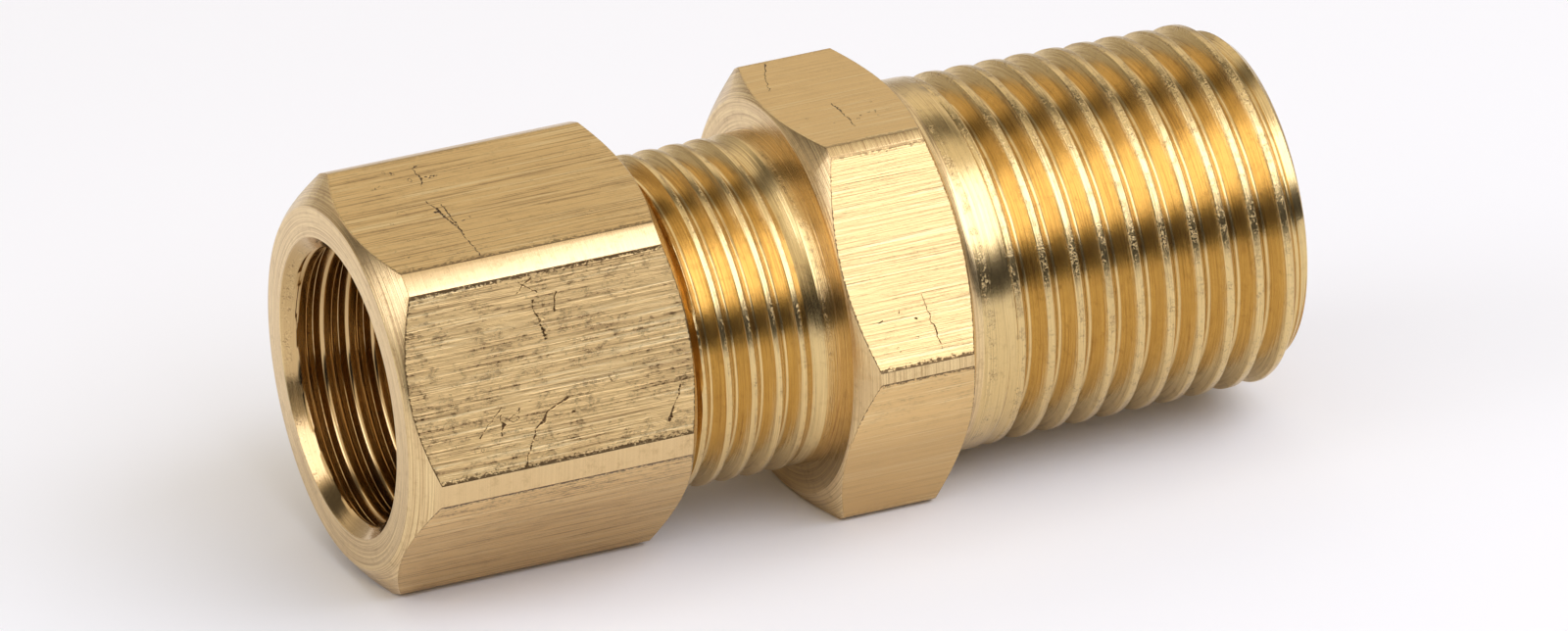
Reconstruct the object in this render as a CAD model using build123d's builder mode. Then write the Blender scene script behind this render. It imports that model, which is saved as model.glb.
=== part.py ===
from build123d import *
import os
from math import ceil, floor, radians, tan

# A turned brass fitting, lying on its side. All sizes are in millimetres.
# The axis runs along +X from the mouth of the socket, at x = 0, to the end of the threaded
# spigot. +Z is up, and the collar's lowest flat is level. Each turn of an outer thread is a
# ring of the thread's own form, with its crests where the thread's crests meet the -Y side.

# Socket: the hexagon at the mouth, with corners turned down to a land
socket_across_flats = 21.0
socket_corner_diameter = 23.5
socket_length = 17.0
socket_turn = 10.0  # degrees from the collar's flats, towards the -Y side
mouth_face_diameter = 20.3
mouth_chamfer_depth = 1.3
socket_rear_face_diameter = 20.6
socket_rear_chamfer_depth = 0.84

# Neck: the threaded length between the two hexagons
neck_length = 8.9
neck_thread_diameter = 18.75
neck_thread_pitch = 1.5
neck_thread_depth = 0.92
neck_flank_angle = 60.0
neck_first_crest = 0.8  # from the socket's back face
neck_land_width = 0.85
neck_runout_depth = 0.3

# Collar: the larger hexagon in the middle
collar_across_flats = 22.5
collar_corner_diameter = 25.6
collar_width = 7.4
collar_face_diameter = 22.2
collar_front_chamfer_depth = 1.0
collar_rear_chamfer_depth = 0.85

# Spigot: the long parallel pipe thread, 14 turns to the inch
spigot_length = 20.9
spigot_thread_diameter = 20.955
spigot_thread_pitch = 1.814
spigot_thread_depth = 1.16
spigot_flank_angle = 55.0
spigot_first_crest = 3.03  # from the collar's back face
spigot_land_width = 2.3
spigot_land_foot = 0.5  # height and width of the cone between the land and the collar
spigot_end_face_diameter = 17.8

# Socket hole, drilled to the size that its thread is tapped from, and the passage behind it
tap_drill_diameter = 15.5
tap_drill_depth = 15.0
drill_point_angle = 118.0
countersink_diameter = 16.9
passage_diameter = 12.0
passage_chamfer = 0.5

# Stations along the axis
neck_start = socket_length
collar_start = neck_start + neck_length
spigot_start = collar_start + collar_width
spigot_end = spigot_start + spigot_length

neck_land_start = collar_start - neck_land_width
spigot_land_end = spigot_start + spigot_land_width
countersink_depth = (countersink_diameter - tap_drill_diameter) / 2
drill_step = (tap_drill_diameter - passage_diameter) / 2
drill_point_depth = tap_drill_depth + drill_step / tan(radians(drill_point_angle / 2))

overrun = 1.0  # how far a cutting shape passes the metal


def ring_profile(*corners):
    """A closed profile of (x, radius) corners in the XZ plane, for turning about the X axis."""
    with BuildSketch(Plane.XZ) as profile:
        with BuildLine():
            Polyline(*corners, close=True)
        make_face()
    return profile.sketch


def turned_hexagon(start, length, across_flats, corner_diameter, turn, front, rear):
    """A hexagonal prism with turned corners. front and rear are (face diameter, chamfer depth)."""
    end = start + length
    corner = corner_diameter / 2
    with BuildPart() as hexagon:
        with BuildSketch(Plane.YZ.offset(start)):
            RegularPolygon(radius=across_flats / 2, side_count=6, major_radius=False, rotation=turn)
        extrude(amount=length)
        blank = ring_profile(
            (start, 0),
            (start, front[0] / 2),
            (start + front[1], corner),
            (end - rear[1], corner),
            (end, rear[0] / 2),
            (end, 0),
        )
        revolve(blank, axis=Axis.X, mode=Mode.INTERSECT)
    return hexagon.part


def cut_groove(middle, radius, depth, flank_angle):
    """Cuts one turn of a thread's groove into the part that is being built."""
    flank_slope = tan(radians(flank_angle / 2))
    outside = (depth + overrun) * flank_slope
    groove = ring_profile(
        (middle - outside, radius + overrun),
        (middle, radius - depth),
        (middle + outside, radius + overrun),
    )
    revolve(groove, axis=Axis.X, mode=Mode.SUBTRACT)


def groove_stations(first_crest, pitch, start, end):
    """The middle of each groove between start and end, halfway between two crests."""
    first = ceil((start - first_crest) / pitch - 0.5)
    last = floor((end - first_crest) / pitch - 0.5)
    return [first_crest + (turn + 0.5) * pitch for turn in range(first, last + 1)]


# The two hexagons, each turned over its corners
socket = turned_hexagon(
    0,
    socket_length,
    socket_across_flats,
    socket_corner_diameter,
    socket_turn,
    (mouth_face_diameter, mouth_chamfer_depth),
    (socket_rear_face_diameter, socket_rear_chamfer_depth),
)
collar = turned_hexagon(
    collar_start,
    collar_width,
    collar_across_flats,
    collar_corner_diameter,
    0,
    (collar_face_diameter, collar_front_chamfer_depth),
    (collar_face_diameter, collar_rear_chamfer_depth),
)

# The neck: its thread starts in the socket's back face and runs out before the collar
with BuildPart() as neck:
    neck_radius = neck_thread_diameter / 2
    with BuildSketch(Plane.YZ.offset(neck_start)):
        Circle(neck_radius)
    extrude(amount=neck_length)
    neck_grooves = groove_stations(
        neck_start + neck_first_crest,
        neck_thread_pitch,
        neck_start - neck_thread_pitch / 2,
        neck_land_start,
    )
    for middle in neck_grooves[:-1]:
        cut_groove(middle, neck_radius, neck_thread_depth, neck_flank_angle)
    cut_groove(neck_grooves[-1], neck_radius, neck_runout_depth, neck_flank_angle)

# The spigot: a plain land beside the collar, the thread, and a chamfer below its bottom
with BuildPart() as spigot:
    spigot_radius = spigot_thread_diameter / 2
    with BuildSketch(Plane.YZ.offset(spigot_start)):
        Circle(spigot_radius)
    extrude(amount=spigot_length)
    spigot_grooves = groove_stations(
        spigot_start + spigot_first_crest,
        spigot_thread_pitch,
        spigot_land_end,
        spigot_end,
    )
    for middle in spigot_grooves:
        cut_groove(middle, spigot_radius, spigot_thread_depth, spigot_flank_angle)
    end_radius = spigot_end_face_diameter / 2
    end_envelope = ring_profile(
        (spigot_start, 0),
        (spigot_start, end_radius + spigot_length),
        (spigot_end, end_radius),
        (spigot_end, 0),
    )
    revolve(end_envelope, axis=Axis.X, mode=Mode.INTERSECT)
    foot = ring_profile(
        (spigot_start, 0),
        (spigot_start, spigot_radius + spigot_land_foot),
        (spigot_start + spigot_land_foot, spigot_radius),
        (spigot_start + spigot_land_foot, 0),
    )
    revolve(foot, axis=Axis.X)

# What is bored out: countersink, drilled hole with its conical bottom, and passage
with BuildPart() as bore:
    hole = ring_profile(
        (-overrun, 0),
        (-overrun, countersink_diameter / 2 + overrun),
        (countersink_depth, tap_drill_diameter / 2),
        (tap_drill_depth, tap_drill_diameter / 2),
        (drill_point_depth, passage_diameter / 2),
        (spigot_end - passage_chamfer, passage_diameter / 2),
        (spigot_end + overrun, passage_diameter / 2 + passage_chamfer + overrun),
        (spigot_end + overrun, 0),
    )
    revolve(hole, axis=Axis.X)

# The fitting, one piece of metal
with BuildPart() as fitting:
    add(collar)
    add(spigot.part)
    add(socket)
    add(neck.part)
    add(bore.part, mode=Mode.SUBTRACT)

fitting.part.label = "fitting"
os.makedirs("parts", exist_ok=True)
export_step(fitting.part, "parts/fitting.step")
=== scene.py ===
from math import atan2, cos, floor, hypot, pi, radians, sin, tan

import bmesh
import bpy
from mathutils import Matrix, Vector


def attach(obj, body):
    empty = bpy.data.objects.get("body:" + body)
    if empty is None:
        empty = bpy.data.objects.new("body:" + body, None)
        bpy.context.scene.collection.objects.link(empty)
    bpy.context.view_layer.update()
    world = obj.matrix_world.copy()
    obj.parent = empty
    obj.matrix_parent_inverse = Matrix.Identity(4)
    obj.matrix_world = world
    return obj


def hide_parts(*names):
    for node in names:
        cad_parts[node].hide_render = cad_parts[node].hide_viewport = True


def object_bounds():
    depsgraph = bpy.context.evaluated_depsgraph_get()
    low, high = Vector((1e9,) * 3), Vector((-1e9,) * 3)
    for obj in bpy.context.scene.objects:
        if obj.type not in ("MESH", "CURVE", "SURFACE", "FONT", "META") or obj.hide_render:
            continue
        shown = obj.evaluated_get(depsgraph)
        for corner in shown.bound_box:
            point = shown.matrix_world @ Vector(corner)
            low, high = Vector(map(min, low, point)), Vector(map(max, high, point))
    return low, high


# A turned brass fitting on its side: hexagonal socket, threaded neck, hexagonal collar and
# threaded spigot. The axis is +X from the socket's mouth. Shapes are made in millimetres and
# scaled to metres once, when the skin is finished.

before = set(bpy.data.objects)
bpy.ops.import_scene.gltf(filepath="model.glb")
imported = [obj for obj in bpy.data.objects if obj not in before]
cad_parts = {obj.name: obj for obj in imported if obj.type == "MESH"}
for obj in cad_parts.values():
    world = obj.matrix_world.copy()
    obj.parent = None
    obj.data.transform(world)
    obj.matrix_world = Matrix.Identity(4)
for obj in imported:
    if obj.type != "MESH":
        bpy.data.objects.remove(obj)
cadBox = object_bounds()
mm = 0.001
turnSteps = 180  # steps in one turn of the lathe
seam = 0.04  # width of the strip that joins two lathe shapes
weld = 0.002  # points nearer than this become one
burr = 0.05  # width of the eased edge round each flat
sharpAngle = 35  # degrees, above which an edge is drawn sharp
milled, turned, threaded, bored = 0, 1, 2, 3  # material slots of the skin

socket = {
    "acrossFlats": 21.0,
    "corner": 11.75,  # radius of the turned corners
    "length": 17.0,
    "turn": 10.0,  # degrees from the collar's flats
    "mouthFace": 10.15,
    "mouthChamfer": 1.3,
    "rearFace": 10.3,
    "rearChamfer": 0.84,
}
neck = {
    "end": 25.9,
    "crest": 9.375,
    "root": 8.525,
    "pitch": 1.5,
    "crestWidth": 0.33,
    "flankAngle": 60.0,
    "crestAt": 1.29,  # where a crest crosses the -Y side
    "crestEase": 0.05,
    "rootEase": 0.1,
    "relief": 0.4,
    "rise": 0.3,  # length over which the crests rise after the relief
    "runOut": 1.5,
    "land": 0.85,
}
collar = {
    "acrossFlats": 22.5,
    "corner": 12.8,
    "width": 7.4,
    "face": 11.1,
    "frontChamfer": 1.0,
    "rearChamfer": 0.85,
}
spigot = {
    "end": 54.2,
    "crest": 10.4775,
    "root": 9.3775,
    "pitch": 1.814,
    "crestWidth": 0.42,
    "flankAngle": 55.0,
    "crestAt": 0.05,
    "crestEase": 0.06,
    "rootEase": 0.12,
    "land": 2.3,
    "fillet": 0.6,
    "runOut": 1.6,
    "runOutDepth": 0.3,  # how far below the root the run-out's line ends
    "endFace": 9.1,
    "endSlope": 0.9,  # radius gained per mm of the end chamfer
    "taper": 0.015,  # radius lost per mm along the thread
}
bore = {
    "mouth": 8.45,
    "crest": 8.3,  # bottom of the internal thread's groove
    "root": 7.75,
    "pitch": 1.5,
    "crestWidth": 0.3,
    "flankAngle": 60.0,
    "crestAt": 1.0,
    "crestEase": 0.05,
    "rootEase": 0.18,
    "opening": 0.3,  # length over which the groove opens after the countersink
    "slack": 0.05,  # kept clear beyond the groove's bottom
    "threadEnd": 10.5,
    "tapEnd": 12.0,
    "drillEnd": 15.0,
    "passage": 6.0,
    "pointAngle": 118.0,
    "passageChamfer": 0.5,
}
collarEnd = neck["end"] + collar["width"]
filletReach = spigot["fillet"] * 1.2  # length that the land's foot takes


def easeCorners(points, sizes, cuts=3):  # rounds a line's inner corners, each by its own size
    points = [Vector(point) for point in points]
    line = [points[0]]
    for before, corner, after, size in zip(points, points[1:], points[2:], sizes):
        start = corner + (before - corner).normalized() * size
        stop = corner + (after - corner).normalized() * size
        for cut in range(cuts + 1):
            share = cut / cuts
            line.append(start.lerp(corner, share).lerp(corner.lerp(stop, share), share))
    return line + [points[-1]]


def latheShape(line, material):  # turns a line of (x, radius) points round the axis
    bm = bmesh.new()
    corners = [bm.verts.new((x, -radius, 0)) for x, radius in line]
    sides = [bm.edges.new(pair) for pair in zip(corners, corners[1:])]
    bmesh.ops.spin(
        bm, geom=corners + sides, axis=(1, 0, 0), angle=2 * pi, steps=turnSteps, use_merge=True
    )
    for face in bm.faces:
        face.material_index = material
    return bm


def millFlats(bm, acrossFlats, turn):
    for side in range(6):
        angle = radians(90 + turn + 60 * side)
        normal = Vector((0, cos(angle), sin(angle)))
        cut = bmesh.ops.bisect_plane(
            bm,
            geom=bm.verts[:] + bm.edges[:] + bm.faces[:],
            plane_co=normal * acrossFlats / 2,
            plane_no=normal,
            clear_outer=True,
        )
        rim = [part for part in cut["geom_cut"] if isinstance(part, bmesh.types.BMEdge)]
        flat = bmesh.ops.edgeloop_fill(bm, edges=rim)["faces"][0]
        flat.material_index = milled
        bmesh.ops.bevel(
            bm,
            geom=flat.edges[:],
            affect="EDGES",
            offset=burr,
            segments=2,
            profile=0.5,
            material=-1,
        )


def threadShape(thread, start, end, lowest, highest, material):
    # one pitch, crest to crest, wound round the axis and held between two envelopes
    pitch = thread["pitch"]
    edge = thread["crestWidth"] / 2
    flank = (thread["crest"] - thread["root"]) * tan(radians(thread["flankAngle"] / 2))
    first = thread["crestAt"] + pitch * (floor((start - thread["crestAt"]) / pitch) - 2)
    form = easeCorners(
        [
            (first, thread["crest"]),
            (first + edge, thread["crest"]),
            (first + edge + flank, thread["root"]),
            (first + pitch / 2, thread["root"]),
            (first + pitch - edge - flank, thread["root"]),
            (first + pitch - edge, thread["crest"]),
            (first + pitch, thread["crest"]),
        ],
        [thread["crestEase"], thread["rootEase"], 0, thread["rootEase"], thread["crestEase"]],
    )
    bm = bmesh.new()
    corners = [bm.verts.new((x, -radius, 0)) for x, radius in form]
    sides = [bm.edges.new(pair) for pair in zip(corners, corners[1:])]
    bmesh.ops.spin(
        bm,
        geom=corners + sides,
        axis=(1, 0, 0),
        angle=2 * pi,
        steps=turnSteps,
        dvec=(pitch / turnSteps, 0, 0),
    )
    oneTurn = bm.verts[:] + bm.edges[:] + bm.faces[:]
    for turn in range(1, floor((end - start) / pitch) + 5):
        copied = bmesh.ops.duplicate(bm, geom=oneTurn)["geom"]
        points = [part for part in copied if isinstance(part, bmesh.types.BMVert)]
        bmesh.ops.translate(bm, verts=points, vec=(pitch * turn, 0, 0))
    unwind = bm.loops.layers.uv.new("unwound")
    length = 2 * pi * thread["crest"]
    for face in bm.faces:
        face.material_index = material
        middle = face.calc_center_median()
        share = (atan2(-middle.z, -middle.y) / (2 * pi)) % 1
        wind = floor((middle.x - first) / pitch - share) + share
        for loop in face.loops:
            point = loop.vert.co
            step = atan2(-point.z, -point.y) / (2 * pi) - share
            along = wind + step - round(step)
            loop[unwind].uv = (along * length, point.x - first - along * pitch)
    bmesh.ops.remove_doubles(bm, verts=bm.verts, dist=weld)
    for vert in bm.verts:
        radius = hypot(vert.co.y, vert.co.z)
        thinner = thread.get("taper", 0) * max(vert.co.x - start, 0)
        held = min(max(radius - thinner, lowest(vert.co.x)), highest(vert.co.x))
        vert.co.y *= held / radius
        vert.co.z *= held / radius
    for place, outward in ((start, -1), (end, 1)):
        bmesh.ops.bisect_plane(
            bm,
            geom=bm.verts[:] + bm.edges[:] + bm.faces[:],
            plane_co=(place, 0, 0),
            plane_no=(outward, 0, 0),
            clear_outer=True,
        )
    return bm


def joinShapes(shapes, places):  # one skin, its shapes bridged where their rims face each other
    skin = bmesh.new()
    skin.loops.layers.uv.new("unwound")
    for shape in shapes:
        part = bpy.data.meshes.new("part")
        shape.to_mesh(part)
        skin.from_mesh(part)
        bpy.data.meshes.remove(part)
        shape.free()
    for low, high in places:
        rims = [
            edge
            for edge in skin.edges
            if edge.is_boundary and all(low < vert.co.x < high for vert in edge.verts)
        ]
        bridge = bmesh.ops.bridge_loops(skin, edges=rims)
        for face in bridge["faces"]:
            face.material_index = turned
    bmesh.ops.recalc_face_normals(skin, faces=skin.faces)
    return skin


def ramp(x, start, end, before, after):  # a straight change between two stations
    share = min(max((x - start) / (end - start), 0), 1)
    return before + (after - before) * share


def makeSocket():
    end = socket["length"]
    line = easeCorners(
        [
            (0, bore["mouth"]),
            (0, socket["mouthFace"]),
            (socket["mouthChamfer"], socket["corner"]),
            (end - socket["rearChamfer"], socket["corner"]),
            (end, socket["rearFace"]),
            (end, neck["root"]),
        ],
        [0.05, 0.04, 0.04, 0.05],
    )
    bm = latheShape(line, turned)
    millFlats(bm, socket["acrossFlats"], socket["turn"])
    return bm


def makeNeck():
    end = neck["end"]
    landStart = end - neck["land"]
    runOutStart = landStart - neck["runOut"]
    reliefEnd = socket["length"] + neck["relief"]
    return threadShape(
        neck,
        socket["length"] + seam,
        end - seam,
        lambda x: ramp(x, runOutStart, landStart, neck["root"], neck["crest"]),
        lambda x: ramp(x, reliefEnd, reliefEnd + neck["rise"], neck["root"], neck["crest"]),
        threaded,
    )


def makeCollar():
    start = neck["end"]
    end = collarEnd
    line = easeCorners(
        [
            (start, neck["crest"]),
            (start, collar["face"]),
            (start + collar["frontChamfer"], collar["corner"]),
            (end - collar["rearChamfer"], collar["corner"]),
            (end, collar["face"]),
            (end, spigot["crest"]),
            (end + filletReach, spigot["crest"]),
        ],
        [0.05, 0.04, 0.04, 0.02, spigot["fillet"]],
    )
    bm = latheShape(line, turned)
    millFlats(bm, collar["acrossFlats"], 0)
    return bm


def makeSpigot():
    landEnd = collarEnd + spigot["land"]
    runOutEnd = landEnd + spigot["runOut"]
    runOutRoot = spigot["root"] - spigot["runOutDepth"]
    end = spigot["end"]

    def endChamfer(x):
        return spigot["endFace"] + (end - x) * spigot["endSlope"]

    return threadShape(
        spigot,
        collarEnd + filletReach + seam,
        end - seam,
        lambda x: min(ramp(x, landEnd, runOutEnd, spigot["crest"], runOutRoot), endChamfer(x)),
        lambda x: min(spigot["crest"], endChamfer(x)),
        threaded,
    )


def makePassage():
    end = spigot["end"]
    drillStep = bore["root"] - bore["passage"]
    pointEnd = bore["drillEnd"] + drillStep / tan(radians(bore["pointAngle"] / 2))
    line = easeCorners(
        [
            (end, spigot["endFace"]),
            (end, bore["passage"] + bore["passageChamfer"]),
            (end - bore["passageChamfer"], bore["passage"]),
            (pointEnd, bore["passage"]),
            (bore["drillEnd"], bore["root"]),
            (bore["tapEnd"] + seam, bore["root"]),
        ],
        [0.04, 0.04, 0.04, 0.04],
    )
    return latheShape(line, turned)


def makeSocketThread():
    sinkEnd = bore["mouth"] - bore["root"]
    deepest = bore["crest"] + bore["slack"]

    def highest(x):
        if x < sinkEnd:
            return bore["mouth"] - x
        opening = ramp(x, sinkEnd, sinkEnd + bore["opening"], bore["root"], deepest)
        return min(opening, ramp(x, bore["threadEnd"], bore["tapEnd"], deepest, bore["root"]))

    return threadShape(
        bore,
        seam,
        bore["tapEnd"],
        lambda x: max(bore["root"], bore["mouth"] - x),
        highest,
        bored,
    )


joints = [  # where along x the rims of two shapes are bridged
    (-0.01, 2 * seam),
    (socket["length"] - seam / 2, socket["length"] + 1.5 * seam),
    (neck["end"] - 1.5 * seam, neck["end"] + seam / 2),
    (collarEnd + spigot["fillet"], collarEnd + filletReach + 2 * seam),
    (spigot["end"] - 1.5 * seam, spigot["end"] + seam / 2),
    (bore["tapEnd"] - seam / 2, bore["tapEnd"] + 1.5 * seam),
]
skin = joinShapes(
    [makeSocket(), makeNeck(), makeCollar(), makeSpigot(), makePassage(), makeSocketThread()],
    joints,
)
print("skin", len(skin.verts), "points", len(skin.faces), "faces")


def finishSkin(bm, materials):  # millimetres to metres, soft shading, sharp edges kept
    bmesh.ops.scale(bm, vec=(mm, mm, mm), verts=bm.verts)
    for face in bm.faces:
        face.smooth = face.material_index != milled
    for edge in bm.edges:
        edge.smooth = edge.calc_face_angle(0) < radians(sharpAngle)
    mesh = bpy.data.meshes.new("fittingSkin")
    bm.to_mesh(mesh)
    bm.free()
    for material in materials:
        mesh.materials.append(material)
    piece = bpy.data.objects.new("fittingSkin", mesh)
    bpy.context.scene.collection.objects.link(piece)
    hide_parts("fitting")
    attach(piece, "root")
    return piece


# Materials. Patterns are laid out in millimetres.


def addNode(tree, kind, inputs=None, **settings):
    made = tree.nodes.new("ShaderNode" + kind)
    for name, value in settings.items():
        setattr(made, name, value)
    for name, value in (inputs or {}).items():
        if isinstance(value, bpy.types.NodeSocket):
            tree.links.new(value, made.inputs[name])
        else:
            made.inputs[name].default_value = value
    return made


def calculate(tree, operation, *values):
    made = addNode(tree, "Math", operation=operation)
    for place, value in enumerate(values):
        if isinstance(value, bpy.types.NodeSocket):
            tree.links.new(value, made.inputs[place])
        else:
            made.inputs[place].default_value = value
    return made.outputs[0]


def weighted(tree, first, firstShare, second, secondShare):  # a sum of two values by their shares
    other = calculate(tree, "MULTIPLY", second, secondShare)
    return calculate(tree, "MULTIPLY_ADD", first, firstShare, other)


def mixColours(tree, share, first, second):
    made = addNode(tree, "Mix", data_type="RGBA")
    for place, value in ((0, share), (6, first), (7, second)):
        if isinstance(value, bpy.types.NodeSocket):
            tree.links.new(value, made.inputs[place])
        else:
            made.inputs[place].default_value = value
    return made.outputs[2]


def noiseOf(tree, vector, scale, detail=3, roughness=0.6, **settings):  # a noise stretched by axis
    stretched = addNode(tree, "VectorMath", {0: vector, 1: scale}, operation="MULTIPLY")
    made = addNode(
        tree,
        "TexNoise",
        {"Vector": stretched.outputs[0], "Scale": 1, "Detail": detail, "Roughness": roughness},
        **settings,
    )
    return made.outputs["Fac"]


def window(tree, value, low, high):  # 0 below low, 1 above high
    made = addNode(tree, "MapRange", {"Value": value, "From Min": low, "From Max": high})
    return made.outputs["Result"]


def objectPlace(tree):  # where a point is, in millimetres
    source = addNode(tree, "TexCoord")
    scaled = addNode(
        tree, "VectorMath", {0: source.outputs["Object"], 1: (1000, 1000, 1000)}, operation="MULTIPLY"
    )
    return scaled.outputs[0]


brass = {
    "flat": (0.80, 0.555, 0.245, 1),
    "round": (0.71, 0.51, 0.26, 1),
    "thread": (0.72, 0.525, 0.235, 1),
    "bore": (0.60, 0.41, 0.19, 1),
    "pale": (0.87, 0.665, 0.34, 1),
    "dull": (0.42, 0.265, 0.115, 1),
    "darkTone": (0.09, 0.05, 0.022, 1),
}
# depth is the height of the marks in mm, burrs the rise of torn crests as a share of it, and
# marks the strength of the tool's lines in the colour
finishes = {
    "milledBrass": {"base": "flat", "roughness": 0.38, "depth": 0.026},
    "turnedBrass": {"base": "round", "roughness": 0.26, "depth": 0.014},
    "threadBrass": {"base": "thread", "roughness": 0.21, "depth": 0.014, "burrs": 0.4, "marks": 0.6},
    "boredBrass": {"base": "bore", "roughness": 0.15, "depth": 0.005, "burrs": 0, "marks": 0.2},
}
hexagons = [  # start, end, front face and chamfer, rear face and chamfer, corner radius
    (0, socket["length"], socket["mouthFace"], socket["mouthChamfer"])
    + (socket["rearFace"], socket["rearChamfer"], socket["corner"]),
    (neck["end"], collarEnd, collar["face"], collar["frontChamfer"])
    + (collar["face"], collar["rearChamfer"], collar["corner"]),
]
scratches = [  # a flat's angle and distance, a line of (x, across) points, its half width
    (160, 10.5, [(9.3, 1.9), (8.1, 2.4), (7.3, 3.2), (6.7, 4.2), (6.3, 5.2)], 0.10),
    (160, 10.5, [(15.9, 2.4), (15.6, 3.1), (14.8, 4.3)], 0.07),
    (160, 10.5, [(5.5, 1.7), (4.4, 2.7), (3.9, 3.1)], 0.06),
    (160, 10.5, [(8.2, -3.7), (8.4, -2.8), (8.6, -1.5)], 0.09),
    (160, 10.5, [(9.7, -3.9), (9.4, -2.9)], 0.08),
    (160, 10.5, [(5.4, 2.1), (5.2, 3.2)], 0.05),
    (160, 10.5, [(11.95, 1.2), (12.0, 1.5)], 0.10),
    (160, 10.5, [(7.6, -4.9), (8.6, -4.1)], 0.06),
    (160, 10.5, [(7.4, -4.2), (8.3, -4.9)], 0.05),
    (100, 10.5, [(6.0, -4.3), (5.8, -2.4)], 0.06),
    (100, 10.5, [(5.4, -0.9), (5.6, 0.5), (5.9, 1.9)], 0.06),
    (100, 10.5, [(6.0, -0.3), (6.0, 2.3), (6.1, 4.9)], 0.06),
    (150, 11.25, [(30.3, 2.3), (30.5, 4.0), (30.7, 5.4)], 0.03),
    (150, 11.25, [(27.5, 3.35), (27.75, 3.25)], 0.06),
    (150, 11.25, [(28.7, 3.05), (28.85, 2.95)], 0.06),
    (150, 11.25, [(29.65, 3.45), (29.75, 3.55)], 0.07),
    (90, 11.25, [(29.5, 0.9), (29.6, 4.1)], 0.05),
    (90, 11.25, [(28.3, -5.7), (27.2, -2.4)], 0.04),
]


def brassMaterial(name):
    material = bpy.data.materials.new(name)
    material.use_nodes = True
    tree = material.node_tree
    shader = tree.nodes["Principled BSDF"]
    shader.inputs["Metallic"].default_value = 1
    shader.inputs["Roughness"].default_value = finishes[name]["roughness"]
    return material, tree, shader


def finishBrass(name, tree, shader, shares, height):
    colour = brass[finishes[name]["base"]]
    for tone, share in shares.items():
        colour = mixColours(tree, share, colour, brass[tone])
    tree.links.new(colour, shader.inputs["Base Color"])
    distance = finishes[name]["depth"] * mm
    bump = addNode(tree, "Bump", {"Height": height, "Distance": distance, "Strength": 1})
    tree.links.new(bump.outputs["Normal"], shader.inputs["Normal"])


def radiusOf(tree, place):
    parts = addNode(tree, "SeparateXYZ", {0: place})
    across = addNode(tree, "CombineXYZ", {1: parts.outputs[1], 2: parts.outputs[2]}).outputs[0]
    radius = addNode(tree, "VectorMath", {0: across}, operation="LENGTH").outputs["Value"]
    return parts.outputs[0], across, radius


def rimOf(tree, place):  # how far a flat's point lies inside the turned outline
    x, across, radius = radiusOf(tree, place)
    depths = []
    for start, end, frontFace, frontChamfer, rearFace, rearChamfer, corner in hexagons:
        front = (corner - frontFace) / frontChamfer
        rear = (corner - rearFace) / rearChamfer
        rise = calculate(tree, "MULTIPLY_ADD", x, front, frontFace - start * front)
        fall = calculate(tree, "MULTIPLY_ADD", x, -rear, rearFace + end * rear)
        outline = calculate(tree, "MINIMUM", calculate(tree, "MINIMUM", rise, fall), corner)
        depths.append(calculate(tree, "SUBTRACT", outline, radius))
    return calculate(tree, "MAXIMUM", *depths)


def scratchesOf(tree, place, ragged):  # 1 in the middle of a scratch, falling to 0 at its sides
    total = None
    for angle, distance, points, width in scratches:
        angle = radians(angle)
        normal = Vector((0, cos(angle), sin(angle)))
        aside = Vector((0, -sin(angle), cos(angle)))
        for start, stop in zip(points, points[1:]):
            origin = Vector((start[0], 0, 0)) + aside * start[1] + normal * distance
            line = Vector((stop[0], 0, 0)) + aside * stop[1] + normal * distance - origin
            side = normal.cross(line.normalized()) / width
            offset = addNode(tree, "VectorMath", {0: place, 1: origin}, operation="SUBTRACT")
            values = []
            for way in (line / line.length_squared, side, normal / 0.4):
                dot = addNode(
                    tree, "VectorMath", {0: offset.outputs[0], 1: way}, operation="DOT_PRODUCT"
                )
                values.append(dot.outputs["Value"])
            within = calculate(tree, "COMPARE", values[0], 0.5, 0.53)
            above = calculate(tree, "COMPARE", values[2], 0, 0.5)
            shape = calculate(tree, "ABSOLUTE", calculate(tree, "MULTIPLY", values[1], ragged))
            shape = calculate(tree, "SUBTRACT", 1, shape)
            shape = calculate(tree, "MULTIPLY", calculate(tree, "MULTIPLY", within, above), shape)
            shape = calculate(tree, "MAXIMUM", shape, 0)
            total = shape if total is None else calculate(tree, "MAXIMUM", total, shape)
    return total


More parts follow.
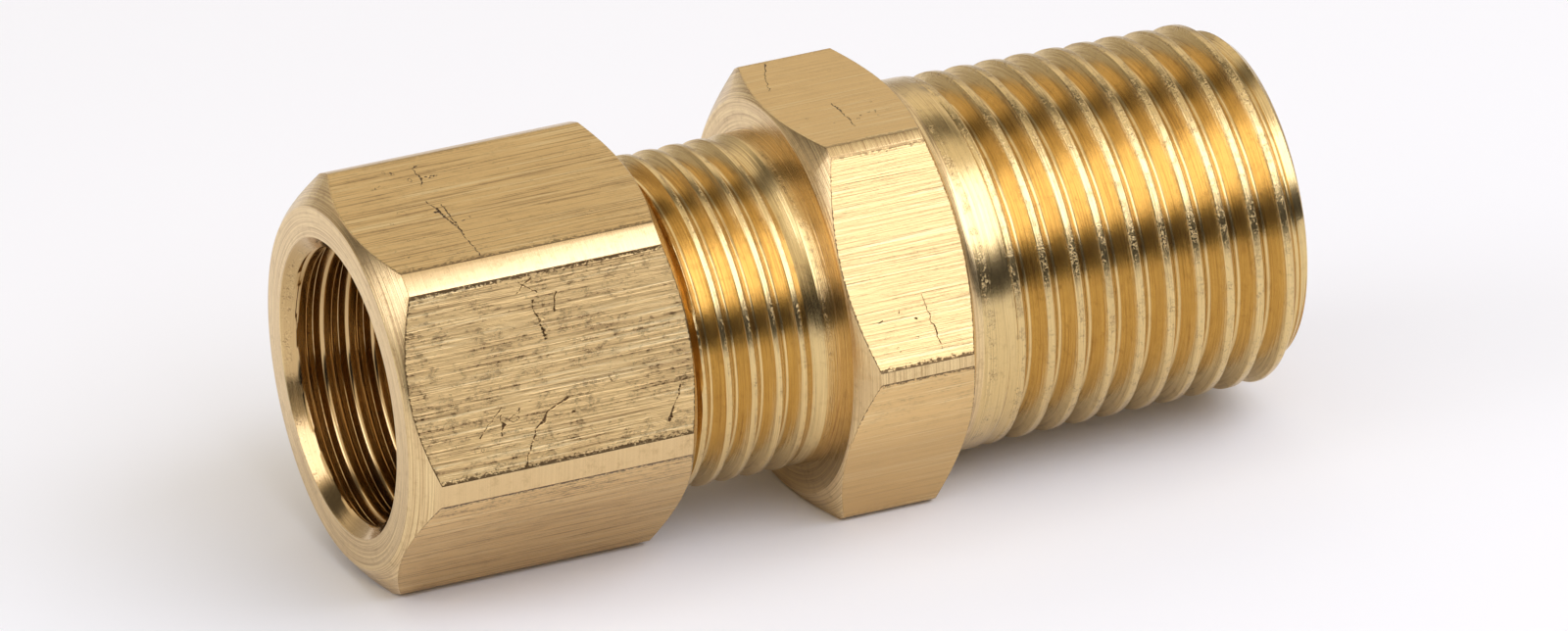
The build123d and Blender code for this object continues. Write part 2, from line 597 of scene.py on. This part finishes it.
def milledBrass():
    material, tree, shader = brassMaterial("milledBrass")
    place = objectPlace(tree)
    x, y, z = addNode(tree, "SeparateXYZ", {0: place}).outputs
    wide = noiseOf(tree, place, (0.07, 2.6, 2.6), 2)
    fine = noiseOf(tree, place, (0.14, 9, 9), 3, 0.7)
    mottle = noiseOf(tree, place, (1.3, 2.4, 2.4), 5, 0.8)
    blotch = noiseOf(tree, place, (0.35, 0.6, 0.6), 2, 0.5)
    grain = noiseOf(tree, place, (4.5, 7, 7), 3, 0.7)
    wander = noiseOf(tree, place, (1.1, 1.1, 1.1), 2)
    ragged = calculate(tree, "MULTIPLY_ADD", wander, 5, -1.5)
    shift = addNode(tree, "CombineXYZ", {0: calculate(tree, "MULTIPLY_ADD", wander, 0.7, -0.35)})
    shifted = addNode(tree, "VectorMath", {0: place, 1: shift.outputs[0]}, operation="ADD")
    scratch = scratchesOf(tree, shifted.outputs[0], ragged)
    scratch = calculate(tree, "MULTIPLY", scratch, window(tree, grain, 0.36, 0.48))
    # the flats toward -Y are worn more than the others, and the socket more than the collar
    front = calculate(tree, "MULTIPLY", window(tree, y, -5, -8), window(tree, z, -5, -3))
    front = calculate(tree, "MULTIPLY_ADD", front, 0.8, 0.2)
    ragged = calculate(tree, "MULTIPLY", calculate(tree, "SUBTRACT", grain, 0.42), -0.5)
    rim = calculate(tree, "ADD", ragged, rimOf(tree, place))
    edge = calculate(tree, "MULTIPLY", window(tree, rim, 0.07, 0.02), front)  # ragged dark rim: painted shadow of the burrs along the flats' edges
    lines = window(tree, fine, 0.53, 0.61)
    broad = weighted(tree, wide, 0.4, fine, 0.6)
    pale = window(tree, broad, 0.46, 0.39)
    worn = weighted(tree, blotch, 0.4, mottle, 0.6)
    worn = calculate(tree, "MULTIPLY", window(tree, worn, 0.48, 0.56), front)
    used = calculate(tree, "MULTIPLY_ADD", window(tree, x, 24, 20), 0.75, 0.25)
    worn = calculate(tree, "MULTIPLY", worn, used)
    specks = weighted(tree, grain, 0.45, mottle, 0.55)
    specks = calculate(tree, "MULTIPLY", window(tree, specks, 0.515, 0.565), worn)
    dull = calculate(tree, "MULTIPLY", calculate(tree, "MULTIPLY", lines, 0.75), used)
    dull = calculate(tree, "MULTIPLY_ADD", worn, 0.2, dull)
    # painted shade: the flats towards the bottom (z below -3.5 mm) get more of the dull tone
    dull = calculate(tree, "MULTIPLY_ADD", window(tree, z, -3.5, -6), 0.4, dull)
    darkTone = calculate(tree, "MULTIPLY", calculate(tree, "MULTIPLY_ADD", lines, 0.6, 0.4), specks)
    # the darkest tone takes the painted burr shadow along the rim as well as the real specks and
    # scratches
    darkTone = calculate(tree, "MAXIMUM", darkTone, calculate(tree, "MULTIPLY", edge, 0.9))
    darkTone = calculate(tree, "MAXIMUM", darkTone, window(tree, scratch, 0.2, 0.6))
    height = weighted(tree, fine, 0.9, wide, 0.9)
    height = calculate(tree, "MULTIPLY_ADD", mottle, 0.5, height)
    height = calculate(tree, "MULTIPLY_ADD", grain, 0.2, height)
    height = calculate(tree, "MULTIPLY_ADD", scratch, -1.5, height)
    shares = {"pale": pale, "dull": dull, "darkTone": darkTone}
    finishBrass("milledBrass", tree, shader, shares, height)
    return material


def turnedBrass():
    material, tree, shader = brassMaterial("turnedBrass")
    place = objectPlace(tree)
    x, across, radius = radiusOf(tree, place)
    outward = addNode(tree, "VectorMath", {0: across}, operation="NORMALIZE").outputs[0]
    along = addNode(tree, "CombineXYZ", {0: x}).outputs[0]
    ring = addNode(tree, "VectorMath", {0: outward, 1: along}, operation="ADD").outputs[0]
    rings = []
    for over, around in ((5, 0.5), (15, 1.2)):
        made = noiseOf(tree, ring, (over, around, around), 3, 0.6, noise_dimensions="4D")
        tree.links.new(calculate(tree, "MULTIPLY", radius, over), made.node.inputs["W"])
        rings.append(made)
    mottle = noiseOf(tree, place, (1.6, 1.6, 1.6), 5, 0.75)
    grain = noiseOf(tree, place, (7, 7, 7), 3, 0.7)
    corner = calculate(tree, "MULTIPLY", window(tree, radius, 11.5, 11.68), window(tree, x, 24, 20))
    clear = calculate(tree, "MULTIPLY_ADD", corner, -0.8, 1)
    pale = calculate(tree, "MULTIPLY", window(tree, rings[1], 0.52, 0.38), clear)
    dull = calculate(tree, "MULTIPLY", window(tree, rings[1], 0.53, 0.63), 0.6)
    dull = calculate(tree, "MULTIPLY", dull, clear)
    dull = calculate(tree, "MULTIPLY_ADD", window(tree, mottle, 0.52, 0.66), 0.35, dull)
    darkTone = window(tree, weighted(tree, mottle, 0.5, grain, 0.5), 0.63, 0.70)
    height = calculate(tree, "MULTIPLY_ADD", rings[1], 0.8, rings[0])
    height = calculate(tree, "MULTIPLY", height, clear)
    height = calculate(tree, "MULTIPLY_ADD", mottle, 0.3, height)
    shares = {"pale": pale, "dull": dull, "darkTone": darkTone}
    finishBrass("turnedBrass", tree, shader, shares, height)
    return material


def threadBrass(name, thread):  # laid out on the unwound thread: along it, then across it
    material, tree, shader = brassMaterial(name)
    marks = finishes[name]["marks"]
    halfPitch = thread["pitch"] / 2
    halfCrest = thread["crestWidth"] * 0.5
    unwound = addNode(tree, "UVMap", uv_map="unwound").outputs["UV"]
    place = objectPlace(tree)
    across = addNode(tree, "SeparateXYZ", {0: unwound}).outputs[1]
    fromMiddle = calculate(tree, "ABSOLUTE", calculate(tree, "SUBTRACT", across, halfPitch))
    fromCrest = calculate(tree, "SUBTRACT", halfPitch, fromMiddle)
    coarse = noiseOf(tree, unwound, (0.10, 5, 1), 2)
    fine = noiseOf(tree, unwound, (0.16, 17, 1), 3, 0.7)
    mottle = noiseOf(tree, place, (1.8, 1.8, 1.8), 5, 0.75)
    grain = noiseOf(tree, place, (9, 9, 9), 3, 0.7)
    crest = window(tree, fromCrest, halfCrest + 0.16, halfCrest)
    torn = calculate(tree, "MULTIPLY", crest, window(tree, grain, 0.50, 0.60))
    torn = calculate(tree, "MULTIPLY", torn, window(tree, mottle, 0.48, 0.56))
    pale = weighted(tree, torn, 0.5, window(tree, fine, 0.46, 0.34), marks)
    dull = calculate(tree, "MULTIPLY", window(tree, fine, 0.53, 0.64), marks)
    dull = calculate(tree, "MULTIPLY_ADD", window(tree, mottle, 0.54, 0.68), 0.35, dull)
    pits = window(tree, weighted(tree, mottle, 0.5, grain, 0.5), 0.63, 0.68)
    pits = calculate(tree, "MULTIPLY", pits, 0.8)
    scars = calculate(tree, "MULTIPLY", crest, window(tree, grain, 0.46, 0.38))
    scars = calculate(tree, "MULTIPLY", scars, window(tree, mottle, 0.46, 0.56))
    darkTone = calculate(tree, "MAXIMUM", calculate(tree, "MULTIPLY", scars, 0.6), pits)
    height = calculate(tree, "MULTIPLY_ADD", fine, 0.8, coarse)
    height = calculate(tree, "MULTIPLY_ADD", mottle, 0.2, height)
    height = calculate(tree, "MULTIPLY_ADD", torn, finishes[name]["burrs"], height)
    finishBrass(name, tree, shader, {"pale": pale, "dull": dull, "darkTone": darkTone}, height)
    return material


materials = [
    milledBrass(),
    turnedBrass(),
    threadBrass("threadBrass", spigot),
    threadBrass("boredBrass", bore),
]
piece = finishSkin(skin, materials)
print("materials", len(materials))

# The table and its light

table = {"size": 0.9, "back": 0.2, "colour": (0.92, 0.93, 0.94, 1), "roughness": 0.9}
softboxes = [
    {
        "size": (0.75, 0.49),
        "distance": 0.65,
        "direction": (0.347, -0.594, 0.726),
        "watts": 2.45,
        "colour": (0.90, 0.96, 1.20),
    },
    {
        "size": (0.36, 0.30),
        "distance": 0.70,
        "direction": (-0.86, 0.07, 0.46),
        "watts": 0.6,
        "colour": (0.90, 0.96, 1.20),
    },
]
far = 9  # past every direction, so no limit
room = {
    "wall": (0.95, 0.88, 0.79),
    "backdrop": (0.91, 0.915, 0.93, 1),
    "tint": (1, 0.92, 0.82),  # colour of the dark parts
    "shades": [  # level, then limits on x, y and z, and the margin in which it fades
        (0.50, (-far, far), (-far, far), (-far, 0.25), 0.22),
        (0.01, (-far, far), (-far, -0.35), (-far, 0.35), 0.10),
        (0.16, (-far, far), (0.26, 0.50), (0.74, far), 0.09),
        (0.10, (-far, -0.55), (0.42, far), (0.34, 0.70), 0.10),
    ],
}


def makeTable():
    material = bpy.data.materials.new("table")
    material.use_nodes = True
    shader = material.node_tree.nodes["Principled BSDF"]
    shader.inputs["Base Color"].default_value = table["colour"]
    shader.inputs["Roughness"].default_value = table["roughness"]
    place = (0, table["back"], cadBox[0].z)
    bpy.ops.mesh.primitive_plane_add(size=table["size"], location=place)
    top = bpy.context.object
    top.name = "table"
    top.data.materials.append(material)


def makeSoftbox(softbox):
    light = bpy.data.lights.new("softbox", "AREA")
    light.shape = "RECTANGLE"
    light.size, light.size_y = softbox["size"]
    light.energy = softbox["watts"]
    light.color = softbox["colour"]
    holder = bpy.data.objects.new("softbox", light)
    bpy.context.scene.collection.objects.link(holder)
    aim = Vector(softbox["direction"]).normalized()
    turn = aim.to_track_quat("Z", "Y").to_matrix().to_4x4()
    holder.matrix_world = Matrix.Translation(aim * softbox["distance"]) @ turn


def makeRoom():  # a room with dark parts, seen in the metal, behind a white backdrop
    world = bpy.data.worlds.new("room")
    bpy.context.scene.world = world
    world.use_nodes = True
    tree = world.node_tree
    ground = tree.nodes["Background"]
    parts = addNode(tree, "SeparateXYZ", {0: addNode(tree, "TexCoord").outputs["Generated"]})
    seen = (*room["wall"], 1)
    for level, *limits, margin in room["shades"]:
        share = 1
        for way, (low, high) in zip(parts.outputs, limits):
            if low > -far:
                share = calculate(tree, "MULTIPLY", share, window(tree, way, low - margin, low))
            if high < far:
                share = calculate(tree, "MULTIPLY", share, window(tree, way, high + margin, high))
        shade = [level * part for part in (*room["tint"], 1 / level)]
        seen = mixColours(tree, share, seen, shade)
    isCamera = addNode(tree, "LightPath").outputs["Is Camera Ray"]
    tree.links.new(mixColours(tree, isCamera, seen, room["backdrop"]), ground.inputs["Color"])


makeTable()
for softbox in softboxes:
    makeSoftbox(softbox)
makeRoom()
print("lights", len(softboxes), "and the room")

camera = {
    "target": (26.56, 0, -1.29),  # mm
    "azimuth": 22.46,  # from -Y towards -X
    "elevation": 24.75,
    "roll": -2.17,
    "distance": 1081.8,
    "lens": 450,
    "sensor": 36,
}


def placeCamera():
    azimuth = radians(camera["azimuth"])
    elevation = radians(camera["elevation"])
    back = Vector(
        (-sin(azimuth) * cos(elevation), -cos(azimuth) * cos(elevation), sin(elevation))
    )
    view = bpy.data.cameras.new("photoCamera")
    view.lens = camera["lens"]
    view.sensor_width = camera["sensor"]
    view.clip_end = 100
    holder = bpy.data.objects.new("photoCamera", view)
    bpy.context.scene.collection.objects.link(holder)
    turn = back.to_track_quat("Z", "Y").to_matrix().to_4x4()
    place = Matrix.Translation((Vector(camera["target"]) + back * camera["distance"]) * mm)
    holder.matrix_world = place @ turn @ Matrix.Rotation(radians(camera["roll"]), 4, "Z")
    bpy.context.scene.camera = holder


placeCamera()
print("camera at", camera["distance"], "mm")

bpy.context.scene.view_settings.view_transform = "Standard"
